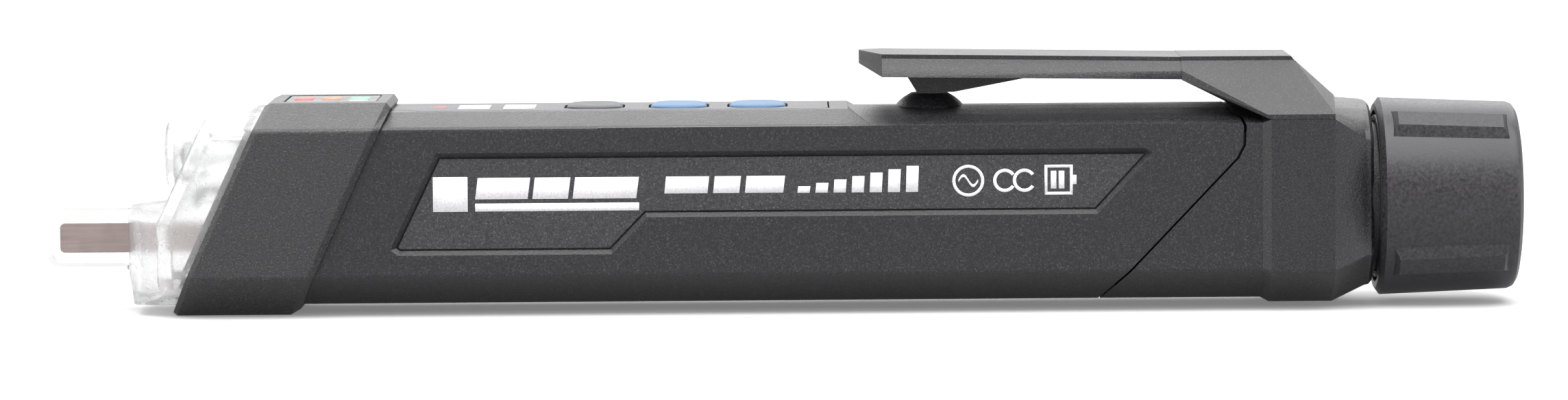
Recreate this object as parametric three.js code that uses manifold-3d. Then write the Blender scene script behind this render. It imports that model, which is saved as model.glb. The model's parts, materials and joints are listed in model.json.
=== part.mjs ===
// Pen-shaped non-contact voltage tester, as an assembly of separate pieces.
//
// Frame: millimetres. +X runs from the sensing tip to the tail cap, +Z is up (buttons and pocket clip),
// and the XZ plane is the plane of symmetry. Pieces are drawn with X measured from a datum 80 mm behind
// the tip, and the finished group is slid along X so that the origin is the centre of the base of the
// bounding box. Heights named *_Z are above the base; sections are drawn about the long axis at AXIS_Z.

import * as THREE from 'three';
import { ConvexGeometry } from 'three/addons/geometries/ConvexGeometry.js';
import { mergeVertices } from 'three/addons/utils/BufferGeometryUtils.js';
import Module from 'manifold-3d';

const wasm = await Module();
wasm.setup();

// ---------------------------------------------------------------------------------------------------
// Driving dimensions
// ---------------------------------------------------------------------------------------------------

const TIP_X = -80;               // front end of the sensing blade
const TAIL_X = 79;               // rear end of the cap

// Octagonal body section, measured from the long axis
const BODY = {
  halfWidth: 10.6,
  halfHeight: 10.35,
  topHalf: 6.6,
  bottomHalf: 6,
  sideTop: 8.75,
  sideBottom: -7.1,
};
const CORNER_RADIUS = 0.7;       // rounding of the body's long edges
const CROWN_RISE = 10.3;         // top of the gently arched rear half of the body
const WALL = 1.6;                // moulded wall
const BEZEL_STEP = 1.1;          // the bezel stands this far proud of the body
const AXIS_Z = BODY.halfHeight + BEZEL_STEP;
const FIT = 0.3;                 // clearance between neighbouring mouldings
const SLANT = 0.46;              // X per Z of every raked face at the front

// Raked planes: where each one crosses the long axis
const NOSE_FACE_X = -66.7;
const BEZEL_FRONT_X = -60.85;
const BEZEL_REAR_X = -47.2;
const NOSE_REAR_X = BEZEL_FRONT_X + 1.8;
const SPIGOT_END_X = NOSE_REAR_X + 1.9;
const BARREL_FRONT_X = NOSE_REAR_X + FIT;

// Sensing blade and the block behind it
const BLADE = { height: 6.2, thickness: 3.0, radius: 1.4, axisZ: AXIS_Z - 3.5 };
const SENSOR = { frontX: TIP_X + 1.35, rearX: -62, height: 3.2, thickness: 0.4, radius: 0.5 };
const BLOCK_FRONT_X = -71;
const BLOCK_TOP_Z = AXIS_Z - 0.1;
const NOSE_STEP_X = -67.2;        // below the raked face the front stands upright here

// Torch in the nose
const TORCH = { radius: 3.9, bore: 3.05, frontX: -66.9, lens: 0.9, axisZ: AXIS_Z + 5.45 };

// Indicator window in the bezel and the lamps under it
const WINDOW = { frontX: -53.9, rearX: -43.9, halfWidth: 5.6, thickness: 0.8 };
const LAMPS = { led_red: -52, led_amber: -49, led_green: -45.9 };
const LAMP_SIZE = { x: 2, y: 3 };

// Top panel, its overlay and the buttons
const PANEL_END_X = 6.7;
const OVERLAY = { frontX: -43, shoulderX: -39.2, rearX: 4.6, halfWidth: 5.9, tabHalf: 3.4, thickness: 0.4 };
const OVERLAY_RECESS = 0.7;
const BUTTONS = { power_button: -20.6, range_button: -11.5, torch_button: -3 };
const BUTTON = { x: 6.1, y: 8.8, radius: 2.6, proud: 0.4, flange: 0.6 };

// Printed circuit board and switches, heights above the long axis
const BOARD = { frontX: -53, rearX: 4, stepX: -34, halfFront: 6.6, halfRear: 8.4, bottom: 5.85, top: 6.85 };
const SCREWS = { pcb_screw_front: [-40, 0], pcb_screw_rear: [1, 6.9] };
const CHIPS = {
  amplifier_chip: { x: -47.5, length: 4, width: 3, legs: 4 },
  controller_chip: { x: -20.5, length: 3.6, width: 6, legs: 6 },
};
const BUZZER = { x: -28, radius: 4.5, hole: 0.8, height: 2.9 };
const SWITCH = { size: 4.6, height: 1, bore: 1.15, floor: 0.15 };
const PLUNGER = { radius: 0.9, bottom: 7.5, top: 8.15 };

// Side label pockets: corners as X and height above the long axis
const LABEL_OUTLINE = [
  [-37.3, 6.15], [-42.3, -4.2], [-41.4, -4.8], [-18.6, -4.8], [-14.8, -0.87],
  [33.3, -0.87], [39.3, 5.65], [38.35, 6.15],
];
const LABEL = { rim: 0.5, pocket: 0.9, recess: 0.4, thickness: 0.4, gap: 0.15 };

// Two AAA cells in line, positive ends forward
const CELL = { length: 44.5, radius: 5.25, nubRadius: 1.9, nub: 1, gap: 0.3 };
const CELLS_REAR_X = 73;
const CELLS_FRONT_X = CELLS_REAR_X - 2 * CELL.length - CELL.gap;

// Rear half: neck, shell, clip and cap
const NECK = { radius: 8, bore: 6.6, startX: 57, endX: 71.8, inset: WALL };
const SHELL = { stepX: 50.9, step: 0.5, flatEndX: 58.6, endX: 63, endRadius: 10.6 };
const SEAM = [[47.4, 9.7], [48.6, 9.2], [48.9, 8.4], [48.8, 6.4], [48.1, 5], [33.45, -10.35]];
// Pocket clip: edge heights at the free front end, behind its cut corners, at the hinge line and at the
// rear of the root; half widths of its side at the bottom edge, at the middle and along the raised top
const CLIP = {
  frontX: 8,
  fullX: 10.4,
  hingeX: 42.2,
  rearX: 54.3,
  frontTopZ: 27.75,
  fullTopZ: 27.55,
  hingeTopZ: 27.07,
  rearTopZ: 27.05,
  tipBottomZ: 26.3,
  frontBottomZ: 25.15,
  hingeBottomZ: 24.6,
  bottomHalf: 7,
  middleHalf: 6.4,
  topHalf: 5.8,
  tipHalf: 0.7,
  step: 0.45,
  bend: 0.4,
};
const FLARE = { frontX: 51.4, y: 11.15, z: 21.1, edge: 0.5, heelX: 47.9, heelHalf: 6.6, heelZ: 21.9 };
const PAD = { frontX: 14.2, rearX: 18.2, endX: 27, halfWidth: 2.8, z: 23.25 };
const BOSS = { x: 15.6, radius: 3.65, topRadius: 2, top: 11.6 };
const CAP = { frontX: 63.7, frontRadius: 10.7, rearRadius: 10.15, bore: 8.3, floorX: 76.9, seat: 9.3 };
const THREAD = { pitch: 2, turns: 1.5, startX: 66.2, depth: 0.5, clearance: 0.25 };
const RIB = {
  count: 4,
  firstAngle: 38,
  frontX: 64.9,
  rearX: 77.8,
  height: 0.65,
  topHalf: 1.05,
  rootHalf: 1.75,
  taper: 0.8,
};

const ROUND_STEPS = 48;          // facets round a large turned piece
const SMALL_STEPS = 20;          // facets round a small turned piece

// ---------------------------------------------------------------------------------------------------
// Geometry helpers
// ---------------------------------------------------------------------------------------------------

const X = new THREE.Vector3(1, 0, 0);
const Y = new THREE.Vector3(0, 1, 0);
const Z = new THREE.Vector3(0, 0, 1);
const SECTION_TO_WORLD = new THREE.Matrix4().makeBasis(Y, Z, X);
const PROFILE_TO_WORLD = new THREE.Matrix4().makeBasis(X, Z, Y.clone().negate());
const LATHE_TO_X = new THREE.Matrix4().makeBasis(Z, X, Y);
const LATHE_TO_Z = new THREE.Matrix4().makeBasis(X, Z, Y.clone().negate());

// Merges shared vertices, drops flat triangles and turns every face outwards.
function closedGeometry(source) {
  const bare = new THREE.BufferGeometry();
  bare.setAttribute('position', source.getAttribute('position'));
  if (source.index) bare.setIndex(source.index);
  const merged = mergeVertices(bare, 1e-4);
  const position = merged.getAttribute('position');
  const corners = [0, 1, 2].map(() => new THREE.Vector3());
  const kept = [];
  let volume = 0;
  for (let i = 0; i < merged.index.count; i += 3) {
    const triangle = [0, 1, 2].map((k) => merged.index.getX(i + k));
    if (new Set(triangle).size < 3) continue;
    triangle.forEach((vertex, k) => corners[k].fromBufferAttribute(position, vertex));
    volume += corners[0].dot(corners[1].clone().cross(corners[2]));
    kept.push(triangle);
  }
  merged.setIndex(kept.flatMap(([a, b, c]) => (volume < 0 ? [a, c, b] : [a, b, c])));
  return merged;
}

function toSolid(source) {
  const geometry = closedGeometry(source);
  const vertProperties = new Float32Array(geometry.getAttribute('position').array);
  const triVerts = new Uint32Array(geometry.index.array);
  return new wasm.Manifold(new wasm.Mesh({ numProp: 3, vertProperties, triVerts }));
}

function toGeometry(solid) {
  const mesh = solid.getMesh();
  const geometry = new THREE.BufferGeometry();
  geometry.setAttribute('position', new THREE.BufferAttribute(new Float32Array(mesh.vertProperties), 3));
  geometry.setIndex(Array.from(mesh.triVerts));
  return geometry;
}

const join = (...geometries) => toGeometry(geometries.map(toSolid).reduce((all, next) => all.add(next)));
const cut = (body, ...tools) => {
  return toGeometry(tools.map(toSolid).reduce((rest, tool) => rest.subtract(tool), toSolid(body)));
};
const common = (...geometries) => {
  return toGeometry(geometries.map(toSolid).reduce((all, next) => all.intersect(next)));
};

const toShape = (points) => new THREE.Shape(points.map(([x, y]) => new THREE.Vector2(x, y)));

// Extrudes an outline drawn in (Y, Z) along X.
function alongX(shape, startX, endX) {
  const geometry = new THREE.ExtrudeGeometry(shape, { depth: endX - startX, bevelEnabled: false });
  return geometry.applyMatrix4(SECTION_TO_WORLD).translate(startX, 0, 0);
}

// Extrudes a side profile drawn in (X, Z) between two values of Y, with an optional chamfer.
function acrossY(shape, lowY, highY, chamfer = 0) {
  const geometry = new THREE.ExtrudeGeometry(shape, {
    depth: highY - lowY - 2 * chamfer,
    bevelEnabled: chamfer > 0,
    bevelSize: chamfer,
    bevelThickness: chamfer,
    bevelOffset: -chamfer,
    bevelSegments: 1,
  });
  return geometry.applyMatrix4(PROFILE_TO_WORLD).translate(0, highY - chamfer, 0);
}

// Extrudes a plan outline drawn in (X, Y) upwards.
function upward(shape, lowZ, highZ) {
  const geometry = new THREE.ExtrudeGeometry(shape, { depth: highZ - lowZ, bevelEnabled: false });
  return geometry.translate(0, 0, lowZ);
}

function block(lowX, highX, lowY, highY, lowZ, highZ) {
  const geometry = new THREE.BoxGeometry(highX - lowX, highY - lowY, highZ - lowZ);
  return geometry.translate((lowX + highX) / 2, (lowY + highY) / 2, (lowZ + highZ) / 2);
}

// Turns a profile of [x, radius] pairs about the long axis moved to height z.
function turnedAboutX(profile, z = AXIS_Z, steps = ROUND_STEPS) {
  const points = profile.map(([x, radius]) => new THREE.Vector2(radius, x));
  return new THREE.LatheGeometry(points, steps).applyMatrix4(LATHE_TO_X).translate(0, 0, z);
}

// Turns a profile of [z, radius] pairs about a vertical line.
function turnedAboutZ(profile, x, y, steps = SMALL_STEPS) {
  const points = profile.map(([z, radius]) => new THREE.Vector2(radius, z));
  return new THREE.LatheGeometry(points, steps).applyMatrix4(LATHE_TO_Z).translate(x, y, 0);
}

const rodX = (startX, endX, radius, z, steps) => {
  return turnedAboutX([[startX, 0], [startX, radius], [endX, radius], [endX, 0]], z, steps);
};
const rodZ = (lowZ, highZ, radius, x, y) => {
  return turnedAboutZ([[lowZ, 0], [lowZ, radius], [highZ, radius], [highZ, 0]], x, y);
};

// Replaces each corner of an outline by an arc of the given radius.
function rounded(corners, radius, steps = 3) {
  return corners.flatMap((corner, i) => {
    const at = new THREE.Vector2(...corner);
    const toPrevious = new THREE.Vector2(...corners.at(i - 1)).sub(at).normalize();
    const toNext = new THREE.Vector2(...corners[(i + 1) % corners.length]).sub(at).normalize();
    const half = Math.acos(THREE.MathUtils.clamp(toPrevious.dot(toNext), -1, 1)) / 2;
    const centre = toPrevious.clone().add(toNext).normalize().multiplyScalar(radius / Math.sin(half)).add(at);
    const start = toPrevious.multiplyScalar(radius / Math.tan(half)).add(at).sub(centre);
    const end = toNext.multiplyScalar(radius / Math.tan(half)).add(at).sub(centre);
    const sweep = Math.atan2(start.cross(end), start.dot(end));
    return Array.from({ length: steps }, (_, k) => {
      const point = start.clone().rotateAround(new THREE.Vector2(), (sweep * k) / (steps - 1)).add(centre);
      return [point.x, point.y];
    });
  });
}

// Moves every side of an anticlockwise outline outwards by the distance.
function grown(corners, distance) {
  return corners.map((corner, i) => {
    const at = new THREE.Vector2(...corner);
    const before = at.clone().sub(new THREE.Vector2(...corners.at(i - 1))).normalize();
    const after = new THREE.Vector2(...corners[(i + 1) % corners.length]).sub(at).normalize();
    const normal = new THREE.Vector2(before.y + after.y, -before.x - after.x).normalize();
    const reach = distance / (normal.x * before.y - normal.y * before.x);
    return [at.x + normal.x * reach, at.y + normal.y * reach];
  });
}

// Skins a list of rings that hold equally many points; convex ends are capped unless the rings close.
function skin(rings, closed = false) {
  const count = rings[0].length;
  const triangles = [];
  const last = closed ? rings.length : rings.length - 1;
  for (let r = 0; r < last; r += 1) {
    for (let i = 0; i < count; i += 1) {
      const a = r * count + i;
      const b = r * count + ((i + 1) % count);
      const c = ((r + 1) % rings.length) * count + i;
      const d = ((r + 1) % rings.length) * count + ((i + 1) % count);
      triangles.push(a, c, b, b, c, d);
    }
  }
  for (let i = 1; !closed && i < count - 1; i += 1) {
    const base = (rings.length - 1) * count;
    triangles.push(0, i, i + 1, base, base + i + 1, base + i);
  }
  const geometry = new THREE.BufferGeometry();
  geometry.setAttribute('position', new THREE.Float32BufferAttribute(rings.flat(2), 3));
  geometry.setIndex(triangles);
  return geometry;
}

// ---------------------------------------------------------------------------------------------------
// Body sections
// ---------------------------------------------------------------------------------------------------

// Corners of the octagonal section, anticlockwise in (Y, height above the axis).
const OCTAGON = [
  [BODY.bottomHalf, -BODY.halfHeight], [BODY.halfWidth, BODY.sideBottom],
  [BODY.halfWidth, BODY.sideTop], [BODY.topHalf, BODY.halfHeight],
  [-BODY.topHalf, BODY.halfHeight], [-BODY.halfWidth, BODY.sideTop],
  [-BODY.halfWidth, BODY.sideBottom], [-BODY.bottomHalf, -BODY.halfHeight],
];

const octagon = (grow = 0) => rounded(grown(OCTAGON, grow), CORNER_RADIUS);

// The rear section has the same sides and base under one shallow arch.
function arched(grow = 0) {
  const halfChord = BODY.halfWidth + grow;
  const rise = CROWN_RISE - BODY.sideTop;
  const radius = (BODY.halfWidth ** 2 + rise ** 2) / (2 * rise) + grow;
  const lower = rounded(grown(OCTAGON, grow), CORNER_RADIUS);
  const perCorner = lower.length / OCTAGON.length;
  const arch = Array.from({ length: 4 * perCorner }, (_, k) => {
    const y = halfChord * Math.cos((Math.PI * k) / (4 * perCorner - 1));
    return [y, CROWN_RISE + grow - radius + Math.sqrt(radius ** 2 - y ** 2)];
  });
  return [...lower.slice(0, 2 * perCorner), ...arch, ...lower.slice(6 * perCorner)];
}

// The bezel's section is pushed out, but the long edges of its sides stay level with the body's.
const bezelSection = (grow) => rounded(OCTAGON.map(([y, h]) => {
  const onSide = Math.abs(y) === BODY.halfWidth;
  const outwards = Math.sign(y) * grow;
  return onSide ? [y + outwards, h] : [y + 0.55 * outwards, h + Math.sign(h) * grow];
}), CORNER_RADIUS);

// Places a section as a ring; a raked ring leans by SLANT.
const ringAt = (section, x, slant = 0) => section.map(([y, h]) => [x + slant * h, y, h + AXIS_Z]);
const rakedRing = (grow, x) => ringAt(octagon(grow), x, SLANT);
const bezelRing = (grow, x) => ringAt(bezelSection(grow), x, SLANT);

// Slides each point of a section onto a circle, keeping its direction from the axis.
const circled = (section, radius) => section.map(([y, h]) => {
  const scale = radius / Math.hypot(y, h);
  return [y * scale, h * scale];
});

// Region of the side view in front of the seam between barrel and rear shell, moved back by the gap.
function aheadOfSeam(gap) {
  const seam = SEAM.map(([x, h]) => [x + gap, h + AXIS_Z]);
  const top = [seam[0][0], 2 * AXIS_Z + 10];
  const bottom = [seam.at(-1)[0] - 3, -4];
  return acrossY(toShape([[-100, -4], bottom, ...seam.toReversed(), top, [-100, 2 * AXIS_Z + 10]]), -20, 20);
}

// The other half of an outline that mirrors across one of its axes, in the order that closes it.
const mirrored = (half) => half.map(([x, y]) => [x, -y]).reverse();
const mirroredEdges = (half) => half.map(([y, z]) => [-y, z]).reverse();

const buttonOutline = (x, grow) => {
  const halfX = BUTTON.x / 2 + grow;
  const halfY = BUTTON.y / 2 + grow;
  const corners = [[x - halfX, -halfY], [x + halfX, -halfY], [x + halfX, halfY], [x - halfX, halfY]];
  return rounded(corners, BUTTON.radius + Math.min(grow, 0), 6);
};

const windowOutline = (grow) => {
  const { frontX, rearX, halfWidth } = WINDOW;
  const corners = [[frontX, -halfWidth], [rearX, -halfWidth], [rearX, halfWidth], [frontX, halfWidth]];
  return rounded(grown(corners, grow), 0.6);
};

const overlayOutline = (grow) => {
  const { frontX, shoulderX, rearX, halfWidth, tabHalf } = OVERLAY;
  const half = [
    [frontX, -tabHalf], [shoulderX - 2, -tabHalf], [shoulderX, -halfWidth],
    [rearX - 1, -halfWidth], [rearX, 1 - halfWidth],
  ];
  return grown([...half, ...mirrored(half)], grow);
};

// ---------------------------------------------------------------------------------------------------
// Front: clear nose, sensor, lamps, bezel
// ---------------------------------------------------------------------------------------------------

function bladeOutline() {
  const low = BLADE.axisZ - BLADE.height / 2;
  const high = BLADE.axisZ + BLADE.height / 2;
  const steps = 5;
  const corners = [[TIP_X, high], [TIP_X, low], [TIP_X + 4, low], [TIP_X + 4, high]];
  const tip = rounded(corners, BLADE.radius, steps).slice(0, 2 * steps);
  const root = [
    [BLOCK_FRONT_X - 0.8, low], [BLOCK_FRONT_X - 0.2, low - 0.35], [BLOCK_FRONT_X + 0.2, low - 1.2],
    [BLOCK_FRONT_X + 2.5, low - 1.2], [BLOCK_FRONT_X + 2.5, high],
  ];
  return [...tip, ...root];
}

function noseBlock(inset) {
  const x = BLOCK_FRONT_X + inset;
  const half = [
    [x, 2.6 - inset / 2], [x + 1, 5 - inset / 2], [x + 3, 7.7 - inset],
    [x + 5, 8.8 - inset], [-60, 8.8 - inset],
  ];
  const plan = upward(toShape([...half, ...mirrored(half)]), 0, BLOCK_TOP_Z - inset);
  const chin = acrossY(toShape([[x - 1, 0], [x + 0.9, 0], [x, 4.6], [x - 1, 4.6]]), -12, 12);
  return cut(common(plan, skin([ringAt(octagon(-inset), -75), rakedRing(-inset, NOSE_REAR_X)])), chin);
}

function clearNose() {
  const shell = skin([
    rakedRing(-0.9, NOSE_FACE_X), rakedRing(-0.3, NOSE_FACE_X + 0.25), rakedRing(0, NOSE_FACE_X + 0.9),
    rakedRing(0, NOSE_REAR_X), rakedRing(-WALL - FIT, NOSE_REAR_X), rakedRing(-WALL - FIT, SPIGOT_END_X),
  ]);
  const hollow = skin([
    rakedRing(-1.6, NOSE_FACE_X + 1.4), rakedRing(-1.4, NOSE_FACE_X + 1.8),
    rakedRing(-1.4, NOSE_REAR_X - 2.6), rakedRing(-2.8, NOSE_REAR_X - 1.4),
    rakedRing(-2.8, SPIGOT_END_X + 1),
  ]);
  const upright = block(-90, NOSE_STEP_X, -20, 20, 0, AXIS_Z - 1.1);
  const inside = block(NOSE_STEP_X + 1.4, -40, -20, 20, 0, 2 * AXIS_Z);
  const torch = turnedAboutX([
    [TORCH.frontX, 0], [TORCH.frontX, TORCH.radius - 0.6], [TORCH.frontX + 0.35, TORCH.radius - 0.1],
    [TORCH.frontX + 1, TORCH.radius], [-61, TORCH.radius], [-61, 0],
  ], TORCH.axisZ, 32);
  const blade = acrossY(toShape(bladeOutline()), -BLADE.thickness / 2, BLADE.thickness / 2, 0.5);
  const torchBore = rodX(TORCH.frontX + TORCH.lens, -60, TORCH.bore, TORCH.axisZ, 32);
  const slot = block(
    SENSOR.frontX - 0.2, -64, -SENSOR.thickness, SENSOR.thickness,
    BLADE.axisZ - SENSOR.height / 2 - 0.15, BLADE.axisZ + SENSOR.height / 2 + 0.15,
  );
  const solid = join(cut(shell, upright), noseBlock(0), torch, blade);
  const behindFace = skin([rakedRing(8, NOSE_FACE_X - 20), rakedRing(8, -40)]);
  return cut(solid, common(hollow, inside), common(noseBlock(1.3), behindFace), torchBore, slot);
}

function sensorPlate() {
  const low = BLADE.axisZ - SENSOR.height / 2;
  const high = BLADE.axisZ + SENSOR.height / 2;
  const corners = [[SENSOR.frontX, low], [SENSOR.rearX, low], [SENSOR.rearX, high], [SENSOR.frontX, high]];
  return acrossY(toShape(rounded(corners, SENSOR.radius, 4)), -SENSOR.thickness / 2, SENSOR.thickness / 2);
}

// Round wire along a smooth path through the given points.
function wire(points, radius, steps, sides = 6) {
  const path = new THREE.CatmullRomCurve3(points.map((point) => new THREE.Vector3(...point)));
  const section = Array.from({ length: sides }, (_, k) => {
    const angle = (2 * Math.PI * k) / sides;
    return [radius * Math.cos(angle), radius * Math.sin(angle)];
  });
  return new THREE.ExtrudeGeometry(toShape(section), { steps, bevelEnabled: false, extrudePath: path });
}

function sensorLead() {
  const plateY = SENSOR.thickness + 0.35;
  return wire([
    [SENSOR.rearX + 0.6, plateY, BLADE.axisZ], [SENSOR.rearX + 2.2, plateY + 0.6, BLADE.axisZ + 1],
    [-56.6, 4, AXIS_Z + 1.4], [-51.8, 4.6, AXIS_Z + 3.4], [-51, 4.6, AXIS_Z + BOARD.bottom - 0.3],
  ], 0.3, 14);
}

// Round lamp with a domed front, a flange and two straight leads towards the board.
function lamp(frontX, radius, length, axisZ, leadEndX) {
  const flangeX = frontX + length;
  const body = turnedAboutX([
    [frontX, 0], [frontX + 0.2 * radius, 0.55 * radius], [frontX + 0.6 * radius, 0.9 * radius],
    [frontX + radius, radius], [flangeX - 1, radius], [flangeX - 1, radius * 1.15],
    [flangeX, radius * 1.15], [flangeX, 0],
  ], axisZ, SMALL_STEPS);
  const leads = [-1, 1].map((side) => {
    const y = side * radius * 0.5;
    return block(flangeX - 0.5, leadEndX, y - 0.25, y + 0.25, axisZ - 0.6, axisZ - 0.15);
  });
  return join(body, ...leads);
}

function frontBezel() {
  const ring = skin([
    bezelRing(FIT, BEZEL_FRONT_X),
    bezelRing(0.75, BEZEL_FRONT_X),
    bezelRing(BEZEL_STEP, BEZEL_FRONT_X + 0.6),
    bezelRing(BEZEL_STEP, BEZEL_REAR_X - 0.8),
    bezelRing(0.45, BEZEL_REAR_X),
    bezelRing(FIT, BEZEL_REAR_X),
  ], true);
  return cut(ring, upward(toShape(windowOutline(0)), AXIS_Z + BODY.halfHeight, AXIS_Z + BODY.halfHeight + 4));
}

function indicatorWindow() {
  const top = AXIS_Z + BODY.halfHeight + BEZEL_STEP - 0.06;
  return upward(toShape(windowOutline(-0.12)), top - WINDOW.thickness, top);
}

const lampLens = (x) => block(
  x - LAMP_SIZE.x / 2, x + LAMP_SIZE.x / 2, -LAMP_SIZE.y / 2, LAMP_SIZE.y / 2,
  AXIS_Z + BOARD.top + 0.05, AXIS_Z + BODY.halfHeight - 0.1,
);

// ---------------------------------------------------------------------------------------------------
// Barrel, overlay, labels and buttons
// ---------------------------------------------------------------------------------------------------

// Helical rib or groove cutter on the axis: a trapezoid swept round at the thread's pitch.
function helix(rootRadius, crestRadius, rootHalf, crestHalf, startTurn, endTurn) {
  const steps = Math.round((endTurn - startTurn) * ROUND_STEPS / 2);
  return skin(Array.from({ length: steps + 1 }, (_, k) => {
    const turn = startTurn + ((endTurn - startTurn) * k) / steps;
    const x = THREAD.startX + THREAD.pitch * turn;
    const angle = 2 * Math.PI * turn;
    const profile = [
      [-rootHalf, rootRadius], [-crestHalf, crestRadius], [crestHalf, crestRadius], [rootHalf, rootRadius],
    ];
    return profile.map(([dx, r]) => [x + dx, r * Math.cos(angle), AXIS_Z + r * Math.sin(angle)]);
  }));
}

// Cutter for a side pocket: chamfered walls down from the side face, then straight to the floor.
function labelPocket(side) {
  const raised = (outline) => toShape(outline.map(([x, h]) => [x, h + AXIS_Z]));
  const span = (near, far) => [side * near, side * far].sort((a, b) => a - b);
  const rim = span(BODY.halfWidth - LABEL.rim, BODY.halfWidth + 2);
  const mouth = acrossY(raised(LABEL_OUTLINE), ...rim, LABEL.rim);
  const floor = span(BODY.halfWidth - LABEL.pocket, BODY.halfWidth + 1);
  return join(mouth, acrossY(raised(grown(LABEL_OUTLINE, -LABEL.rim)), ...floor));
}

const buttonHoles = () => Object.values(BUTTONS).map((x) => {
  return upward(toShape(buttonOutline(x, 0.2)), AXIS_Z + 7.6, AXIS_Z + BODY.halfHeight + 3);
});

function barrel() {
  const panel = common(
    skin([ringAt(octagon(), -75), ringAt(octagon(), 12)]),
    acrossY(toShape([
      [BARREL_FRONT_X - 12 * SLANT, AXIS_Z - 12], [9.3, AXIS_Z - 12], [9.3, AXIS_Z + BODY.sideTop],
      [PANEL_END_X, AXIS_Z + BODY.halfHeight], [PANEL_END_X - 3.25, AXIS_Z + BODY.halfHeight + 2],
      [BARREL_FRONT_X + 12.35 * SLANT, AXIS_Z + 12.35],
    ]), -20, 20),
  );
  const rear = common(skin([ringAt(arched(), -20), ringAt(arched(), 52)]), aheadOfSeam(0));
  const neckSection = octagon(-NECK.inset);
  const neck = skin([
    ringAt(neckSection, 30), ringAt(neckSection, NECK.startX),
    ringAt(circled(neckSection, NECK.radius), NECK.startX + 2.5),
  ]);
  const spout = rodX(NECK.startX, NECK.endX, NECK.radius, AXIS_Z);
  const rootRadius = NECK.radius - 0.2;
  const crestRadius = NECK.radius + THREAD.depth;
  const thread = helix(rootRadius, crestRadius, 0.55, 0.2, 0, THREAD.turns);
  const boss = turnedAboutZ([
    [AXIS_Z + 9.6, 0], [AXIS_Z + 9.6, BOSS.radius + 0.4], [AXIS_Z + 10.3, BOSS.radius],
    [AXIS_Z + 10.7, BOSS.radius - 0.35], [AXIS_Z + 11.15, BOSS.topRadius + 0.75],
    [AXIS_Z + BOSS.top, BOSS.topRadius], [AXIS_Z + BOSS.top, 0],
  ], BOSS.x, 0, 24);

  const wide = octagon(-WALL);
  const narrow = octagon(-NECK.inset - 1.5);
  const front = skin([rakedRing(-WALL, BARREL_FRONT_X - 1), ringAt(wide, -30), ringAt(wide, 32)]);
  const middle = skin([
    ringAt(narrow, 28), ringAt(narrow, NECK.startX - 2.5), ringAt(circled(narrow, NECK.bore), NECK.startX),
  ]);
  const bore = rodX(NECK.startX - 1, NECK.endX + 1, NECK.bore, AXIS_Z);
  const top = AXIS_Z + BODY.halfHeight;
  const overlaySeat = upward(toShape(overlayOutline(0.15)), top - OVERLAY_RECESS, top + 3);
  const lampSlot = upward(toShape(windowOutline(0.2)), AXIS_Z + BOARD.top + 0.5, top + 3);
  const solid = join(panel, rear, neck, spout, thread, boss);
  const pockets = [-1, 1].map(labelPocket);
  return cut(solid, front, middle, bore, overlaySeat, lampSlot, ...buttonHoles(), ...pockets);
}

function topOverlay() {
  const top = AXIS_Z + BODY.halfHeight;
  const sheet = upward(toShape(overlayOutline(0)), top - OVERLAY.thickness, top + 0.02);
  return cut(sheet, ...buttonHoles());
}

function sideLabel(side) {
  const outline = grown(LABEL_OUTLINE, -LABEL.rim - LABEL.gap).map(([x, h]) => [x, h + AXIS_Z]);
  const outer = BODY.halfWidth - LABEL.recess;
  const faces = [side * (outer - LABEL.thickness), side * outer].sort((a, b) => a - b);
  return acrossY(toShape(outline), ...faces);
}

// Cap with a domed top, a retaining flange under the wall and a stem that meets the switch.
function buttonCap(x) {
  const top = BODY.halfHeight + BUTTON.proud;
  const layers = [[8.45, 0], [top - 0.5, 0], [top - 0.22, -0.15], [top - 0.06, -0.6], [top, -1.4]];
  const ring = ([height, grow]) => buttonOutline(x, grow).map(([px, py]) => [px, py, height + AXIS_Z]);
  const body = skin(layers.map(ring));
  const flange = upward(toShape(buttonOutline(x, BUTTON.flange)), AXIS_Z + 8.35, AXIS_Z + 8.65);
  return join(body, flange, rodZ(AXIS_Z + PLUNGER.top + 0.05, AXIS_Z + 8.5, PLUNGER.radius + 0.1, x, 0));
}

function switchHousing(x) {
  const low = AXIS_Z + BOARD.top + 0.05;
  const half = SWITCH.size / 2;
  const box = block(x - half, x + half, -half, half, low, low + SWITCH.height);
  return cut(box, rodZ(low + SWITCH.floor, low + 2, SWITCH.bore, x, 0));
}

const switchPlunger = (x) => rodZ(AXIS_Z + PLUNGER.bottom, AXIS_Z + PLUNGER.top, PLUNGER.radius, x, 0);

// ---------------------------------------------------------------------------------------------------
// Electronics, chassis and cells
// ---------------------------------------------------------------------------------------------------

function mainBoard() {
  const { frontX, rearX, stepX, halfFront, halfRear } = BOARD;
  const half = [[frontX, -halfFront], [stepX, -halfFront], [stepX + 2, -halfRear], [rearX, -halfRear]];
  const outline = [...half, ...mirrored(half)];
  const board = upward(toShape(outline), AXIS_Z + BOARD.bottom, AXIS_Z + BOARD.top);
  const holes = Object.values(SCREWS).map(([x, y]) => rodZ(AXIS_Z + 5, AXIS_Z + 8, 1.1, x, y));
  return cut(board, ...holes);
}

// Flat chip with a row of legs down each side, hung under the board.
function chip({ x, length, width, legs }) {
  const top = AXIS_Z + BOARD.bottom - 0.1;
  const body = block(x - length / 2, x + length / 2, -width / 2, width / 2, top - 1.3, top - 0.15);
  const pitch = length / legs;
  const pins = Array.from({ length: legs }, (_, k) => {
    const pinX = x - length / 2 + pitch * (k + 0.5);
    return block(pinX - 0.2, pinX + 0.2, -width / 2 - 1, width / 2 + 1, top - 0.6, top);
  });
  return join(body, ...pins);
}

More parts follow.
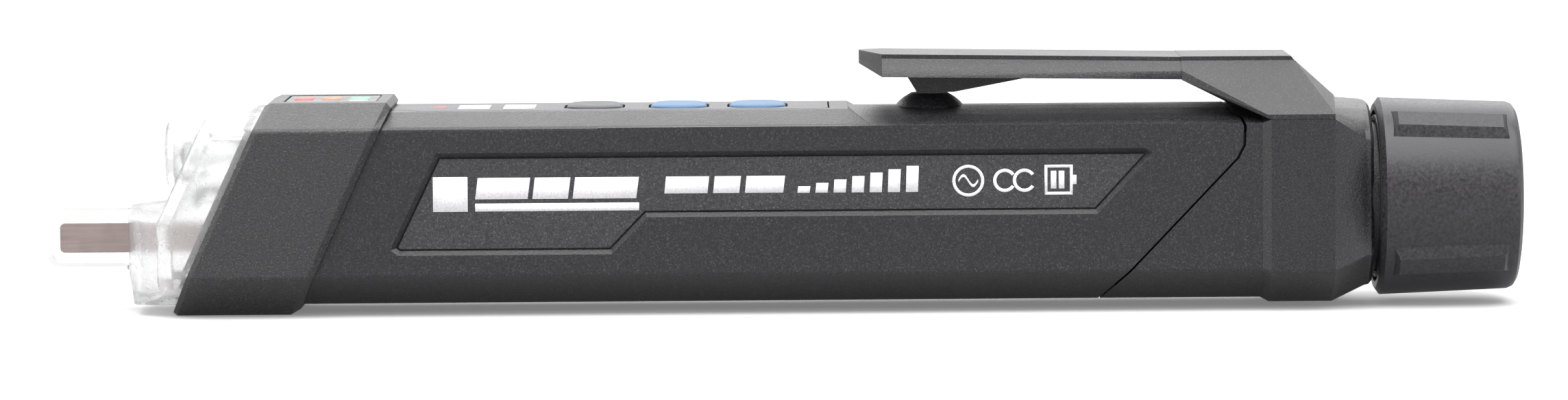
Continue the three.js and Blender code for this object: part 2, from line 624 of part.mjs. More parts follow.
// Round sounder with a hole in its face, hung under the board.
function buzzer() {
  const { x, radius, hole, height } = BUZZER;
  const top = AXIS_Z + BOARD.bottom - 0.1;
  const face = top - height;
  return turnedAboutZ([
    [top, 0], [top, radius], [face + 0.3, radius], [face, radius - 0.3],
    [face, hole], [face + 0.6, hole], [face + 0.6, 0],
  ], x, 0, 24);
}

// Trough for the cells with a front wall, a forward arm and two posts that carry the board.
function chassis() {
  const outer = 6.3;
  const inner = CELL.radius + 0.25;
  const steps = 14;
  const arc = (radius) => Array.from({ length: steps + 1 }, (_, k) => {
    const angle = Math.PI + (Math.PI * k) / steps;
    return [radius * Math.cos(angle), AXIS_Z + radius * Math.sin(angle)];
  });
  const wallX = CELLS_FRONT_X - 1.5;
  const trough = alongX(toShape([...arc(outer), ...arc(inner).reverse()]), wallX - 1, 55);
  const wall = [...arc(outer), [outer, AXIS_Z + 3.4], [-outer, AXIS_Z + 3.4]];
  const bulkhead = alongX(toShape(wall), wallX - 1.3, wallX);
  const arm = block(-44, wallX - 0.5, -4, 4, AXIS_Z - 5.6, AXIS_Z - 4.4);
  const seat = AXIS_Z + BOARD.bottom - 0.05;
  const [frontPost, rearPost] = Object.values(SCREWS);
  const posts = [rodZ(AXIS_Z - 5, seat, 2, ...frontPost), rodZ(AXIS_Z - 2, seat, 1.6, ...rearPost)];
  const strut = block(-0.6, 2.6, 5.7, 6.9, AXIS_Z - 2, AXIS_Z - 0.2);
  const holes = Object.values(SCREWS).map(([x, y]) => rodZ(seat - 4.5, seat + 1, 0.95, x, y));
  return cut(join(trough, bulkhead, arm, strut, ...posts), ...holes);
}

function boardScrew([x, y]) {
  const seat = AXIS_Z + BOARD.top + 0.05;
  const screw = turnedAboutZ([
    [seat - 5, 0], [seat - 4.4, 0.75], [seat, 0.75], [seat, 1.9],
    [seat + 0.7, 1.75], [seat + 1.15, 1.1], [seat + 1.2, 0],
  ], x, y);
  const slot = block(x - 1.4, x + 1.4, y - 0.2, y + 0.2, seat + 0.6, seat + 2);
  const cross = block(x - 0.2, x + 0.2, y - 1.4, y + 1.4, seat + 0.6, seat + 2);
  return cut(screw, join(slot, cross));
}

function cell(frontX) {
  const { length, radius, nubRadius, nub } = CELL;
  const canX = frontX + nub;
  const rearX = frontX + length;
  return turnedAboutX([
    [frontX, 0], [frontX, nubRadius - 0.2], [frontX + 0.2, nubRadius], [canX, nubRadius],
    [canX, radius - 0.5], [canX + 0.5, radius],
    [rearX - 0.5, radius], [rearX, radius - 0.5], [rearX, 0],
  ], AXIS_Z, 32);
}

function frontContact() {
  const plateX = CELLS_FRONT_X - 1.4;
  return turnedAboutX([
    [plateX, 0], [plateX, 4.2], [plateX + 0.35, 4.2],
    [plateX + 0.35, 1.5], [plateX + 1.1, 0.9], [plateX + 1.2, 0],
  ], AXIS_Z, SMALL_STEPS);
}

const returnStrip = () => block(CELLS_FRONT_X, NECK.endX, -6.1, -5.8, AXIS_Z + 0.3, AXIS_Z + 1.9);

// ---------------------------------------------------------------------------------------------------
// Rear: shell, clip, seal, cap and tail contact
// ---------------------------------------------------------------------------------------------------

// One side of the clip below its raised top, as [half width, height], lowest first.
function clipSide(bottomZ, topZ, bend = 0) {
  const footZ = topZ - CLIP.step;
  return [[CLIP.bottomHalf, bottomZ], [CLIP.middleHalf + bend, (bottomZ + footZ) / 2], [CLIP.topHalf, footZ]];
}

// Side of the clip's raised top, set slightly into the part below it.
const clipTop = (half, topZ) => [[half, topZ - CLIP.step - 0.1], [half, topZ]];

// Convex solid over points on the +Y side and their mirror images.
function mirroredHull(half) {
  const whole = [...half, ...half.map(([x, y, z]) => [x, -y, z])];
  return new ConvexGeometry(whole.map((point) => new THREE.Vector3(...point)));
}

function clipRoot() {
  const { hingeX, rearX, hingeTopZ, rearTopZ, hingeBottomZ, bottomHalf, topHalf, step, bend } = CLIP;
  const flareLowZ = FLARE.z - FLARE.edge;
  const atHinge = (edges) => edges.map(([y, z]) => [hingeX + FIT, y, z]);
  const lower = mirroredHull([
    ...atHinge(clipSide(hingeBottomZ, hingeTopZ, bend)),
    [rearX + 0.4, topHalf, rearTopZ - step],
    [hingeX + 2, bottomHalf, hingeBottomZ - 0.1],
    [FLARE.heelX, FLARE.heelHalf, FLARE.heelZ],
    [FLARE.frontX, FLARE.y, FLARE.z],
    [FLARE.frontX + 0.3, FLARE.y, flareLowZ],
    [SHELL.flatEndX, FLARE.y, FLARE.z],
    [SHELL.flatEndX, FLARE.y, flareLowZ],
    [SHELL.flatEndX + 0.3, topHalf, 22.8],
  ]);
  const raisedTop = mirroredHull([
    ...atHinge(clipTop(topHalf, hingeTopZ)),
    [rearX, topHalf, rearTopZ],
    [rearX + 0.4, topHalf, rearTopZ - step - 0.1],
  ]);
  return join(lower, raisedTop);
}

function rearShell() {
  const { stepX, step, flatEndX, endX, endRadius } = SHELL;
  const round = circled(arched(), endRadius);
  const outer = skin([
    ringAt(arched(), 28), ringAt(arched(), stepX),
    ringAt(arched(step), stepX + 0.9), ringAt(arched(step), flatEndX),
    ringAt(round, endX - 0.9), ringAt(circled(round, endRadius - 0.15), endX - 0.35),
    ringAt(circled(round, endRadius - 0.6), endX),
  ]);
  const sleeve = cut(outer, aheadOfSeam(FIT));
  const clearance = octagon(FIT - NECK.inset);
  const cavity = skin([
    ringAt(clearance, 20), ringAt(clearance, NECK.startX + 0.3),
    ringAt(circled(clearance, NECK.radius + FIT), NECK.startX + 3),
  ]);
  const bore = rodX(NECK.startX, endX + 1, NECK.radius + FIT, AXIS_Z);
  return cut(join(sleeve, clipRoot()), cavity, bore);
}

// Arm with sloping sides, a raised top and a pointed front end, and the narrower pad under it.
function pocketClip() {
  const { frontX, fullX, hingeX, frontTopZ, fullTopZ, hingeTopZ, frontBottomZ, hingeBottomZ } = CLIP;
  const { tipBottomZ, tipHalf, topHalf, step, bend } = CLIP;
  const station = (x, edges) => [...edges, ...mirroredEdges(edges)].map(([y, z]) => [x, y, z]);
  const tipFootZ = frontTopZ - step;
  const sides = skin([
    station(frontX, [[tipHalf, tipBottomZ], [tipHalf, (tipBottomZ + tipFootZ) / 2], [tipHalf, tipFootZ]]),
    station(fullX, clipSide(frontBottomZ, fullTopZ)),
    station(hingeX, clipSide(hingeBottomZ, hingeTopZ, bend)),
  ]);
  const raisedTop = skin([
    station(frontX, clipTop(tipHalf, frontTopZ)),
    station(fullX, clipTop(topHalf, fullTopZ)),
    station(hingeX, clipTop(topHalf, hingeTopZ)),
  ]);
  const topZ = frontBottomZ + 0.4;
  const pad = acrossY(toShape([
    [PAD.frontX - 1, topZ], [PAD.frontX - 1, frontBottomZ - 0.25], [PAD.frontX, PAD.z], [PAD.rearX, PAD.z],
    [PAD.endX, frontBottomZ - 0.25], [PAD.endX, topZ],
  ]), -PAD.halfWidth, PAD.halfWidth);
  return join(sides, raisedTop, pad);
}

function oRing() {
  const steps = 8;
  const profile = Array.from({ length: steps + 1 }, (_, k) => {
    const angle = (2 * Math.PI * (k % steps)) / steps;
    return [SHELL.endX + 1 + 0.4 * Math.cos(angle), NECK.radius + 0.5 + 0.4 * Math.sin(angle)];
  });
  return turnedAboutX(profile, AXIS_Z, 32);
}

// Raised grip rib with drafted sides and ends, running along the cap's wall.
function gripRib(k) {
  const angle = THREE.MathUtils.degToRad(RIB.firstAngle + (360 * k) / RIB.count);
  const sunk = 0.5;
  const spread = (sunk * (RIB.rootHalf - RIB.topHalf)) / RIB.height;
  const level = (rise, half, inset) => [
    [RIB.frontX + inset, CAP.frontRadius + rise], [RIB.rearX - inset, CAP.rearRadius + rise],
  ].flatMap(([x, radius]) => [new THREE.Vector3(x, -half, radius), new THREE.Vector3(x, half, radius)]);
  const points = [...level(-sunk, RIB.rootHalf + spread, 0), ...level(RIB.height, RIB.topHalf, RIB.taper)];
  return new ConvexGeometry(points).rotateX(angle).translate(0, 0, AXIS_Z);
}

function tailCap() {
  const { frontX, frontRadius, rearRadius, bore, floorX, seat } = CAP;
  const wall = [
    [frontX, seat], [frontX, frontRadius - 0.7], [frontX + 0.5, frontRadius],
    [TAIL_X - 1.1, rearRadius], [TAIL_X - 0.5, rearRadius - 0.25], [TAIL_X - 0.15, rearRadius - 0.8],
    [TAIL_X, rearRadius - 1.6], [TAIL_X, 0],
  ];
  const inside = [[floorX, 0], [floorX, bore], [frontX + 1.7, bore], [frontX + 1.7, seat], [frontX, seat]];
  const { depth, clearance, turns } = THREAD;
  const groove = helix(bore - 0.3, bore + depth, 0.55 + clearance + 0.15, 0.2 + clearance, -0.8, turns + 0.2);
  const ribs = Array.from({ length: RIB.count }, (_, k) => gripRib(k));
  return cut(join(turnedAboutX([...wall, ...inside]), ...ribs), groove);
}

function tailContact() {
  const rearX = CAP.floorX - 0.3;
  const frontX = NECK.endX + FIT;
  return turnedAboutX([
    [frontX, 5.7], [frontX, 7.8], [rearX, 7.8], [rearX, 0],
    [rearX - 1.1, 0], [rearX - 1.1, 5.7], [frontX, 5.7],
  ]);
}

function tailSpring() {
  const turns = 2.5;
  const perTurn = 14;
  const [startX, endX] = [CELLS_REAR_X + 0.4, CAP.floorX - 1.75];
  const points = Array.from({ length: turns * perTurn + 1 }, (_, k) => {
    const t = k / (turns * perTurn);
    const radius = THREE.MathUtils.lerp(1.8, 4.4, t);
    const angle = 2 * Math.PI * turns * t;
    const x = THREE.MathUtils.lerp(startX, endX, t);
    return [x, radius * Math.cos(angle), AXIS_Z + radius * Math.sin(angle)];
  });
  return wire(points, 0.25, turns * perTurn);
}

// ---------------------------------------------------------------------------------------------------
// Materials and assembly
// ---------------------------------------------------------------------------------------------------

const finish = (color, roughness, metalness = 0, extra = {}) => {
  return new THREE.MeshStandardMaterial({ color, roughness, metalness, ...extra });
};
const FINISHES = {
  blackPlastic: finish(0x2b292c, 0.6),
  labelPlastic: finish(0x333135, 0.7),
  clearPlastic: finish(0xeef2f2, 0.12, 0, { transparent: true, opacity: 0.35 }),
  smokedPlastic: finish(0x3c3c42, 0.2, 0, { transparent: true, opacity: 0.6 }),
  greyRubber: finish(0x44464c, 0.55),
  blueRubber: finish(0x4f8fd6, 0.5),
  redLens: finish(0xd8453c, 0.3),
  amberLens: finish(0xf07a3a, 0.3),
  greenLens: finish(0x6fae82, 0.3),
  copper: finish(0x9a6a5c, 0.4, 1),
  steel: finish(0xb9bcc0, 0.35, 1),
  board: finish(0x1f5a36, 0.5),
  cellWrap: finish(0xc6c8cc, 0.4),
  rubber: finish(0x151515, 0.8),
};

const PIECES = [
  ['clear_nose', clearNose(), 'clearPlastic'],
  ['sensor_plate', sensorPlate(), 'copper'],
  ['sensor_lead', sensorLead(), 'copper'],
  ['torch_led', lamp(-65.6, 2.5, 8, TORCH.axisZ, -52.5), 'clearPlastic'],
  ['tip_led', lamp(-64.2, 1.5, 4.6, AXIS_Z + 0.6, -55), 'redLens'],
  ['front_bezel', frontBezel(), 'blackPlastic'],
  ['indicator_window', indicatorWindow(), 'smokedPlastic'],
  ['led_red', lampLens(LAMPS.led_red), 'redLens'],
  ['led_amber', lampLens(LAMPS.led_amber), 'amberLens'],
  ['led_green', lampLens(LAMPS.led_green), 'greenLens'],
  ['barrel', barrel(), 'blackPlastic'],
  ['top_overlay', topOverlay(), 'labelPlastic'],
  ['side_label_left', sideLabel(-1), 'labelPlastic'],
  ['side_label_right', sideLabel(1), 'labelPlastic'],
  ...Object.entries(BUTTONS).flatMap(([name, x]) => [
    [name, buttonCap(x), name === 'power_button' ? 'greyRubber' : 'blueRubber'],
    [name.replace('button', 'switch'), switchHousing(x), 'steel'],
    [name.replace('button', 'plunger'), switchPlunger(x), 'rubber'],
  ]),
  ['main_pcb', mainBoard(), 'board'],
  ...Object.entries(CHIPS).map(([name, size]) => [name, chip(size), 'rubber']),
  ['buzzer', buzzer(), 'rubber'],
  ['battery_chassis', chassis(), 'blackPlastic'],
  ...Object.entries(SCREWS).map(([name, place]) => [name, boardScrew(place), 'steel']),
  ['battery_cell_front', cell(CELLS_FRONT_X), 'cellWrap'],
  ['battery_cell_rear', cell(CELLS_REAR_X - CELL.length), 'cellWrap'],
  ['front_contact', frontContact(), 'steel'],
  ['return_strip', returnStrip(), 'steel'],
  ['rear_shell', rearShell(), 'blackPlastic'],
  ['pocket_clip', pocketClip(), 'blackPlastic'],
  ['o_ring', oRing(), 'rubber'],
  ['tail_contact', tailContact(), 'steel'],
  ['tail_spring', tailSpring(), 'steel'],
  ['tail_cap', tailCap(), 'blackPlastic'],
];

const tester = new THREE.Group();
tester.position.x = -(TIP_X + TAIL_X) / 2;
for (const [name, geometry, material] of PIECES) {
  const mesh = new THREE.Mesh(closedGeometry(geometry), FINISHES[material]);
  mesh.geometry.computeVertexNormals();
  mesh.name = name;
  tester.add(mesh);
}

export default tester;
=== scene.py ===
import json
import math

import bmesh
import bpy
from mathutils import Matrix, Quaternion, Vector

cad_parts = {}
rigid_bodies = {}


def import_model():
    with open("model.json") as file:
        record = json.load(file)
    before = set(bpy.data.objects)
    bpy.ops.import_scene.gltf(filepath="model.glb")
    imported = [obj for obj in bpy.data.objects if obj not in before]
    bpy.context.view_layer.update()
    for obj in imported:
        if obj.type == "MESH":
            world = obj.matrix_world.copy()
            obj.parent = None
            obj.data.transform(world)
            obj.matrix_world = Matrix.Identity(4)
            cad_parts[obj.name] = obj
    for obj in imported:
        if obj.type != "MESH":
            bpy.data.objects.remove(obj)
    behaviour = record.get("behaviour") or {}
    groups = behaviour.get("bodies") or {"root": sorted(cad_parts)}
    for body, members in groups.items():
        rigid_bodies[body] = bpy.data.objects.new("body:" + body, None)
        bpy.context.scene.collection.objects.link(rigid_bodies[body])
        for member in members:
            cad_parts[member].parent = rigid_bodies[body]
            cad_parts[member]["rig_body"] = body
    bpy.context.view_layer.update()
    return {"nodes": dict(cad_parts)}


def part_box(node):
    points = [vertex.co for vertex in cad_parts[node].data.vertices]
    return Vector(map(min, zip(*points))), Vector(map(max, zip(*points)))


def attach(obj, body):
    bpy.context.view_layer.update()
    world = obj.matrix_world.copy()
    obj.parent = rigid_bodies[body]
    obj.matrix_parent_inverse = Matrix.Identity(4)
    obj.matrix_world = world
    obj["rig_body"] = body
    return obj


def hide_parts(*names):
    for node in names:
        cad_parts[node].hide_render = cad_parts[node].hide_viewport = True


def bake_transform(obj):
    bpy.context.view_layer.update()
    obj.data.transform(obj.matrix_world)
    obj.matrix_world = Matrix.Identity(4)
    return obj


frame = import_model()

# ---------------------------------------------------------------------------------------------------
# Places and sizes, in metres, worked out from the frame
# ---------------------------------------------------------------------------------------------------

MM = 0.001
NODES = frame["nodes"]
LABEL_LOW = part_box("side_label_left")[0]
OVERLAY_LOW, OVERLAY_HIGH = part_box("top_overlay")
WINDOW_LOW, WINDOW_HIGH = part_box("indicator_window")
CLIP_LOW, CLIP_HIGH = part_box("pocket_clip")
CAP_LOW, CAP_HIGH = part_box("tail_cap")
NOSE_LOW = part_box("clear_nose")[0]
AXIS_Z = (CAP_LOW.z + CAP_HIGH.z) / 2
BLADE_END_X = NOSE_LOW.x + 9 * MM
INK = 0.02 * MM


# ---------------------------------------------------------------------------------------------------
# Materials
# ---------------------------------------------------------------------------------------------------

NOISE_RANGE = (0.3, 0.7)                              # the part of 0 to 1 that a noise texture mostly fills
MIX_FIRST, MIX_SECOND, MIX_RESULT = 6, 7, 2           # colour sockets of the mix node


class Shader:
    """A node material under construction, with its Principled shader and row-frame coordinates."""

    def __init__(self, name, color, roughness, **sockets):
        self.material = bpy.data.materials.new(name)
        self.material.use_nodes = True
        self.tree = self.material.node_tree
        self.bsdf = self.tree.nodes["Principled BSDF"]
        self.bsdf.inputs["Base Color"].default_value = (*color, 1)
        self.bsdf.inputs["Roughness"].default_value = roughness
        for socket, value in sockets.items():
            self.bsdf.inputs[socket.replace("_", " ")].default_value = value
        self.place = self.node("ShaderNodeTexCoord").outputs["Object"]

    def node(self, kind, inputs=(), **settings):
        made = self.tree.nodes.new(kind)
        for key, value in settings.items():
            setattr(made, key, value)
        for key, value in dict(inputs).items():
            if hasattr(value, "is_output"):
                self.tree.links.new(value, made.inputs[key])
            else:
                made.inputs[key].default_value = value
        return made

    def link(self, output, socket):
        self.tree.links.new(output, self.bsdf.inputs[socket])

    def stretched(self, scale):
        return self.node("ShaderNodeMapping", {"Vector": self.place, "Scale": scale}).outputs["Vector"]

    def noise(self, size, detail=3.0, roughness=0.55, place=None):
        """Noise whose features are about this size across."""
        inputs = {"Vector": place or self.place, "Scale": 1 / size}
        inputs.update({"Detail": detail, "Roughness": roughness})
        return self.node("ShaderNodeTexNoise", inputs).outputs["Fac"]

    def ramp(self, value, low, high, low_color, high_color):
        """Colour that runs from the first to the second as the value goes from low to high."""
        made = self.node("ShaderNodeValToRGB", {"Fac": value})
        ends = made.color_ramp.elements
        ends[0].position, ends[1].position = low, high
        ends[0].color, ends[1].color = (*low_color, 1), (*high_color, 1)
        return made.outputs["Color"]

    def spread(self, value, low, high, bottom=0.0, top=1.0):
        """The value, with low to high mapped onto bottom to top."""
        inputs = {"Value": value, "From Min": low, "From Max": high, "To Min": bottom, "To Max": top}
        return self.node("ShaderNodeMapRange", inputs).outputs["Result"]

    def math(self, operation, a, b):
        return self.node("ShaderNodeMath", {0: a, 1: b}, operation=operation).outputs["Value"]

    def mixed(self, factor, first, second):
        """First colour output blended towards the second, fixed colour."""
        made = self.node("ShaderNodeMix", {"Factor": factor}, data_type="RGBA")
        self.tree.links.new(first, made.inputs[MIX_FIRST])
        made.inputs[MIX_SECOND].default_value = (*second, 1)
        return made.outputs[MIX_RESULT]

    def bump(self, height, depth):
        made = self.node("ShaderNodeBump", {"Height": height, "Distance": depth, "Strength": 1.0})
        self.link(made.outputs["Normal"], "Normal")


def scaled(color, factor):
    """The colour made darker or lighter by the factor."""
    return tuple(channel * factor for channel in color)


def textured_plastic(name, color, roughness, grain, depth, flecks=0.0, shine=0.5):
    """Spark-eroded moulded plastic: fine pits, uneven gloss and a few bright flecks; its colour carries
    painted shade in the pits and a painted highlight on the raised grain.
    """
    shader = Shader(name, color, roughness, Specular_IOR_Level=shine)
    pits = shader.noise(grain, 4.0, 0.7)
    fine = shader.noise(grain * 0.45, 2.0)
    cloud = shader.noise(9 * MM, 2.0)
    # Painted shade and painted highlight: the base colour is darker in the pits and lighter on the raised
    # grain, following the same noise as the bump.
    body = shader.ramp(pits, 0.38, 0.64, scaled(color, 0.45), scaled(color, 1.75))
    if flecks:
        spots = shader.spread(shader.noise(grain * 0.6, 1.0), 0.58, 0.70)
        body = shader.mixed(spots, body, [flecks] * 3)
    shader.link(body, "Base Color")
    pitting = shader.spread(pits, *NOISE_RANGE, -0.10, 0.10)
    patches = shader.spread(cloud, *NOISE_RANGE, -0.03, 0.03)
    shader.link(shader.math("ADD", shader.math("ADD", pitting, patches), roughness), "Roughness")
    shader.bump(shader.math("ADD", pits, shader.math("MULTIPLY", fine, 0.4)), depth)
    return shader.material


def clear_plastic(name, color, roughness):
    """Moulded clear plastic with faint flow ripples."""
    shader = Shader(name, color, roughness, Transmission_Weight=1.0, IOR=1.5)
    flow = shader.noise(3.6 * MM, 2.0)
    shader.link(shader.spread(flow, *NOISE_RANGE, roughness * 0.6, roughness * 1.6), "Roughness")
    shader.bump(shader.noise(1.2 * MM, 2.0), 0.004 * MM)
    return shader.material


def frosted_nose():
    """Milky clear plastic, painted greyer towards its edges as painted shade, polished on the blade and
    frosted on the parts behind it.
    """
    shader = Shader("clear_nose_plastic", (0.88, 0.88, 0.88), 0.2, IOR=1.40)
    along = shader.node("ShaderNodeSeparateXYZ", {"Vector": shader.place}).outputs["X"]
    frost = shader.spread(along, BLADE_END_X - 0.4 * MM, BLADE_END_X + 0.8 * MM)
    # Painted shade: the colour turns greyer where the surface is seen edge-on, standing in for the dark
    # outline of the clear moulding.
    edge = shader.node("ShaderNodeLayerWeight", {"Blend": 0.4}).outputs["Facing"]
    shader.link(shader.ramp(edge, 0.35, 0.95, (0.86, 0.86, 0.86), (0.58, 0.58, 0.59)), "Base Color")
    ripple = shader.spread(shader.noise(0.9 * MM, 3.0), *NOISE_RANGE, -0.05, 0.05)
    shader.link(shader.math("ADD", shader.spread(frost, 0, 1, 0.07, 0.25), ripple), "Roughness")
    shader.link(shader.spread(frost, 0, 1, 0.97, 0.88), "Transmission Weight")
    shader.bump(shader.noise(0.35 * MM, 3.0), 0.006 * MM)
    return shader.material


def rubber(name, color, roughness):
    """Moulded silicone: matt, with a soft powdery bloom."""
    bloom = {"Sheen_Weight": 0.03, "Sheen_Roughness": 0.5, "Specular_IOR_Level": 0.3}
    shader = Shader(name, color, roughness, **bloom)
    cloud = shader.noise(1.6 * MM, 3.0)
    shader.link(shader.ramp(cloud, *NOISE_RANGE, scaled(color, 0.9), scaled(color, 1.1)), "Base Color")
    shader.link(shader.spread(cloud, *NOISE_RANGE, roughness - 0.05, roughness + 0.05), "Roughness")
    shader.bump(shader.noise(0.12 * MM), 0.004 * MM)
    return shader.material


def metal(name, color, roughness, stretch=(1, 1, 1), grain=0.3 * MM, tarnish=0.0):
    """Drawn or brushed metal: streaks along the axis with the smallest stretch."""
    shader = Shader(name, color, roughness, Metallic=1.0)
    streaks = shader.noise(grain, 3.0, place=shader.stretched(stretch))
    tone = shader.ramp(streaks, *NOISE_RANGE, scaled(color, 0.75), scaled(color, 1.15))
    if tarnish:
        stain = shader.spread(shader.noise(2.5 * MM, 4.0), 0.45, 0.75, 0, tarnish)
        tone = shader.mixed(stain, tone, scaled(color, 0.4))
    shader.link(tone, "Base Color")
    shader.link(shader.spread(streaks, *NOISE_RANGE, roughness - 0.08, roughness + 0.1), "Roughness")
    shader.bump(streaks, 0.003 * MM)
    return shader.material


def lens(name, color):
    """Diffused coloured plastic that lets a little light through."""
    glow = {"Subsurface_Weight": 0.2, "Subsurface_Scale": 0.4 * MM, "Coat_Weight": 0.4}
    shader = Shader(name, color, 0.25, **glow)
    cloud = shader.noise(0.5 * MM, 2.0)
    shader.link(shader.ramp(cloud, *NOISE_RANGE, scaled(color, 0.85), scaled(color, 1.12)), "Base Color")
    shader.bump(cloud, 0.003 * MM)
    return shader.material


def circuit_board():
    """Solder mask over faint copper tracks."""
    green = (0.015, 0.12, 0.045)
    shader = Shader("circuit_board", green, 0.35)
    layout = {"Vector": shader.place, "Scale": 260.0, "Mortar Size": 0.03}
    tracks = shader.node("ShaderNodeTexBrick", layout)
    tracks.inputs["Color1"].default_value = (*green, 1)
    tracks.inputs["Color2"].default_value = (*scaled(green, 1.25), 1)
    tracks.inputs["Mortar"].default_value = (*scaled(green, 2.2), 1)
    shader.link(tracks.outputs["Color"], "Base Color")
    shader.bump(tracks.outputs["Fac"], 0.01 * MM)
    return shader.material


def printed_ink(name, color):
    """Pad-printed ink, a little thin where the texture under it stands up."""
    shader = Shader(name, color, 0.55)
    wear = shader.noise(0.18 * MM, 3.0)
    shader.link(shader.ramp(wear, 0.3, 0.62, scaled(color, 0.75), color), "Base Color")
    shader.bump(wear, 0.006 * MM)
    return shader.material


BLACK = textured_plastic(
    "black_plastic", (0.0055, 0.0050, 0.0062), 0.36, 0.24 * MM, 0.050 * MM, flecks=0.030, shine=0.36)
BEZEL_BLACK = textured_plastic(
    "bezel_plastic", (0.0048, 0.0043, 0.0055), 0.34, 0.26 * MM, 0.100 * MM, flecks=0.045, shine=0.44)
CAP_BLACK = textured_plastic(
    "cap_plastic", (0.012, 0.011, 0.0135), 0.44, 0.34 * MM, 0.016 * MM, shine=0.34)
LABEL_BLACK = textured_plastic(
    "label_plastic", (0.0100, 0.0092, 0.0112), 0.40, 0.28 * MM, 0.090 * MM, flecks=0.045, shine=0.40)
OVERLAY_BLACK = textured_plastic("overlay_plastic", (0.020, 0.019, 0.022), 0.46, 0.28 * MM, 0.03 * MM)
NOSE = frosted_nose()
CLEAR = clear_plastic("clear_plastic", (0.97, 0.975, 0.98), 0.05)
SMOKED = clear_plastic("smoked_plastic", (0.22, 0.22, 0.24), 0.12)
BLUE = rubber("blue_rubber", (0.030, 0.075, 0.140), 0.55)
GREY = rubber("grey_rubber", (0.030, 0.032, 0.037), 0.55)
SEAL = rubber("seal_rubber", (0.010, 0.010, 0.010), 0.5)
COPPER = metal("copper", (0.31, 0.215, 0.195), 0.42, stretch=(0.05, 1, 1), tarnish=0.5)
STEEL = metal("steel", (0.58, 0.58, 0.59), 0.3, stretch=(1, 1, 0.1))
SWITCH_METAL = metal("switch_metal", (0.62, 0.61, 0.58), 0.38)
CELL_JACKET = metal("cell_jacket", (0.42, 0.43, 0.46), 0.35, stretch=(0.1, 1, 1), grain=1 * MM)
RED_LENS = lens("red_lens", (0.72, 0.05, 0.04))
AMBER_LENS = lens("amber_lens", (0.85, 0.16, 0.03))
GREEN_LENS = lens("green_lens", (0.08, 0.36, 0.14))
BOARD = circuit_board()
CHIP = textured_plastic("chip_plastic", (0.02, 0.02, 0.021), 0.5, 0.15 * MM, 0.01 * MM)
WHITE_INK = printed_ink("white_ink", (0.60, 0.59, 0.61))
RED_INK = printed_ink("red_ink", (0.65, 0.06, 0.05))
ORANGE_INK = printed_ink("orange_ink", (0.75, 0.12, 0.05))
GREEN_INK = printed_ink("green_ink", (0.12, 0.42, 0.20))


# ---------------------------------------------------------------------------------------------------
# Mesh helpers
# ---------------------------------------------------------------------------------------------------

SAME_PLACE = 0.002 * MM                               # split corners lie closer together than this
SAME_PLANE = math.radians(0.7)                        # faces of one flat lean less than this


def merged_copy(node):
    """The CAD node's mesh with split corners joined and flat regions merged."""
    work = bmesh.new()
    work.from_mesh(NODES[node].data)
    bmesh.ops.remove_doubles(work, verts=work.verts, dist=SAME_PLACE)
    bmesh.ops.dissolve_limit(work, angle_limit=SAME_PLANE, verts=work.verts, edges=work.edges)
    bmesh.ops.recalc_face_normals(work, faces=work.faces)
    return work


def finished(work, name, material, body):
    """Turns a bmesh into a piece that rides on its body."""
    mesh = bpy.data.meshes.new(name)
    work.to_mesh(mesh)
    work.free()
    mesh.materials.append(material)
    piece = bpy.data.objects.new(name, mesh)
    bpy.context.scene.collection.objects.link(piece)
    for polygon in mesh.polygons:
        polygon.use_smooth = True
    if body:
        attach(piece, body)
    return piece


def round_edges(piece, width, segments=2, angle=28):
    """Rounds every edge sharper than the angle and keeps the flats shading flat."""
    bevel = piece.modifiers.new("rounded edges", "BEVEL")
    bevel.width = width
    bevel.segments = segments
    bevel.limit_method = "ANGLE"
    bevel.angle_limit = math.radians(angle)
    bevel.use_clamp_overlap = True
    bevel.harden_normals = False
    weighted = piece.modifiers.new("flat faces", "WEIGHTED_NORMAL")
    weighted.keep_sharp = True
    weighted.weight = 80
    return piece


def refined(node, material, width):
    """A finer piece that stands for a CAD node of the same shape."""
    cad = NODES[node]
    piece = finished(merged_copy(node), node + "_fine", material, cad["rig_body"])
    round_edges(piece, width)
    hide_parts(node)
    return piece


def raised(work, outline, place, direction, thickness):
    """Adds a closed plate to the bmesh: outline points go through place, then out along direction."""
    low = [work.verts.new(place(*point)) for point in outline]
    high = [work.verts.new(vertex.co + direction * thickness) for vertex in low]
    work.faces.new(list(reversed(low)))
    work.faces.new(high)
    count = len(outline)
    for i in range(count):
        work.faces.new((low[i], low[(i + 1) % count], high[(i + 1) % count], high[i]))


def raised_strip(work, inner, outer, place, direction, thickness):
    """Adds a closed band between two rows of points as a chain of plates."""
    for i in range(len(inner) - 1):
        raised(work, [inner[i], inner[i + 1], outer[i + 1], outer[i]], place, direction, thickness)


def rectangle(x0, y0, x1, y1, lean=0.0):
    """Corners of a rectangle whose top leans along x."""
    return [(x0, y0), (x1, y0), (x1 + lean, y1), (x0 + lean, y1)]


def arc(cx, cy, radius, start, end, steps):
    """Points along an arc, both ends included."""
    angles = [start + (end - start) * k / steps for k in range(steps + 1)]
    return [(cx + radius * math.cos(a), cy + radius * math.sin(a)) for a in angles]


# ---------------------------------------------------------------------------------------------------
# Camera, light and floor
# ---------------------------------------------------------------------------------------------------

CAMERA = {"distance": 0.69, "elevation": 4.65, "roll": 0.44, "view_width": 0.1699}
LOOK_AT = Vector((0.3 * MM, 0, AXIS_Z + 0.013 * MM))


